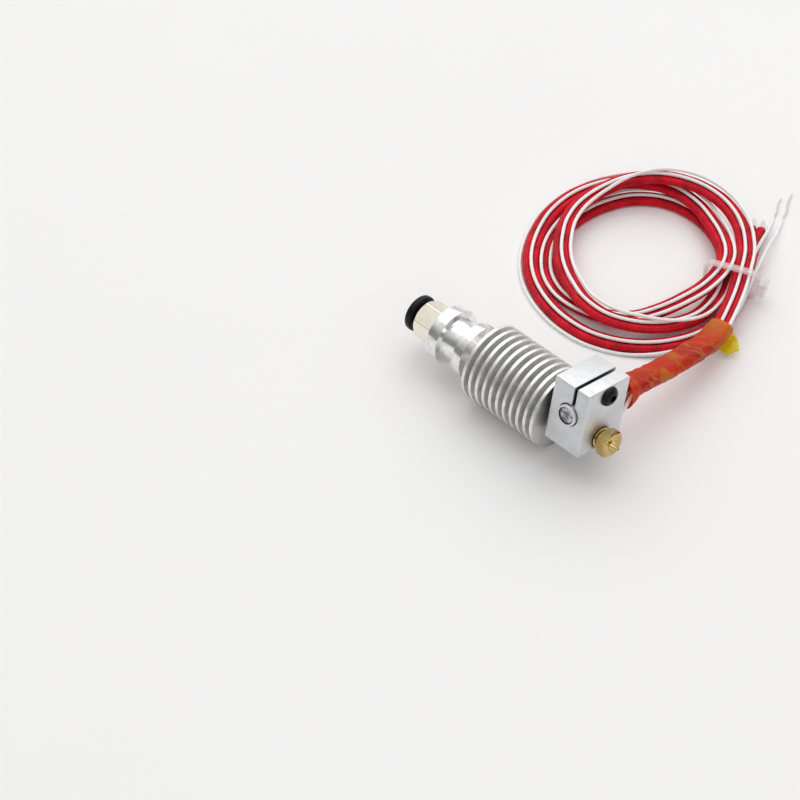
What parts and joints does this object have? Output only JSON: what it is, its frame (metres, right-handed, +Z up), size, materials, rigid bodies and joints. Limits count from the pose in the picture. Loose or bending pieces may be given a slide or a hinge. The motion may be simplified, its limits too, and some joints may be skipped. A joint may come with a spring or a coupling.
{
  "type": "3D printer hotend",
  "caption": "All-metal filament hotend lying on its side: finned heat sink, push-fit coupling, heater block, brass nozzle, coiled leads.",
  "frame": {"origin": "middle of the whole footprint, on the table the hotend lies on", "axes": "+Z up from the table; +X along the hotend's axis from the push-fit coupling to the nozzle; +Y from the hotend towards its coil of leads, so +Y is the longest extent and +Z the shortest"},
  "size_m": [0.0874, 0.1326, 0.0286],
  "materials": {
    "sink_aluminium": "turned and polished",
    "block_aluminium": "fine bead-blasted satin",
    "nickel": "warm bright nickel plate",
    "black_plastic": "smooth moulded black",
    "spring_steel": "plain spring steel",
    "seal_rubber": "matte black rubber",
    "white_tube": "waxy white low-friction plastic",
    "stainless": "turned stainless steel",
    "cartridge_steel": "dull grey drawn sheath",
    "ceramic": "unglazed white",
    "black_steel": "black oxide",
    "brass": "bright turned brass",
    "zinc_steel": "zinc plate",
    "glass_bead": "amber glass bead",
    "red_braid": "red varnished fibreglass braid",
    "white_sleeve": "smooth white insulation",
    "tinned_wire": "tinned stranded copper",
    "amber_tape": "glossy translucent polyimide film",
    "yellow_tape": "glossy yellow film",
    "clear_nylon": "translucent white nylon"
  },
  "bodies": {
    "hotend": {"cable_tie": "clear_nylon", "cartridge_plug": "ceramic", "heat_break": "stainless", "heat_sink": "sink_aluminium", "heater_block": "block_aluminium", "heater_cartridge": "cartridge_steel", "heater_lead_a": "red_braid", "heater_lead_a_tip": "tinned_wire", "heater_lead_b": "red_braid", "heater_lead_b_tip": "tinned_wire", "tape_flag": "yellow_tape", "tape_wrap": "amber_tape", "thermistor_bead": "glass_bead", "thermistor_lead_a": "white_sleeve", "thermistor_lead_a_tip": "tinned_wire", "thermistor_lead_b": "white_sleeve", "thermistor_lead_b_tip": "tinned_wire", "thermistor_washer": "zinc_steel", "tube_liner": "white_tube"},
    "coupling": {"coupling_body": "nickel", "collet_retainer": "nickel", "grip_ring": "spring_steel", "tube_seal": "seal_rubber"},
    "collet": {"release_collet": "black_plastic"},
    "nozzle": {"nozzle": "brass"},
    "clamp_screw": {"clamp_screw": "black_steel"},
    "thermistor_screw": {"thermistor_screw": "zinc_steel"}
  },
  "joints": [
    {"name": "coupling_turn", "type": "hinge", "parent": "hotend", "child": "coupling", "pos_m": [-0.01956, -0.05513, 0.01115], "axis": [-1, 0, 0], "range_deg": [0, 90]},
    {"name": "collet_press", "type": "slide", "parent": "coupling", "child": "collet", "axis": [1, 0, 0], "range_m": [0, 0.0006]},
    {"name": "nozzle_turn", "type": "hinge", "parent": "hotend", "child": "nozzle", "pos_m": [0.03724, -0.05513, 0.01115], "axis": [1, 0, 0], "range_deg": [0, 90]},
    {"name": "clamp_screw_turn", "type": "hinge", "parent": "hotend", "child": "clamp_screw", "pos_m": [0.03724, -0.05278, 0.02444], "axis": [1, 0, 0], "range_deg": [0, 90]},
    {"name": "thermistor_screw_turn", "type": "hinge", "parent": "hotend", "child": "thermistor_screw", "pos_m": [0.02864, -0.04714, 0.01035], "axis": [0, 0.9848, -0.1736], "range_deg": [0, 90]}
  ]
}
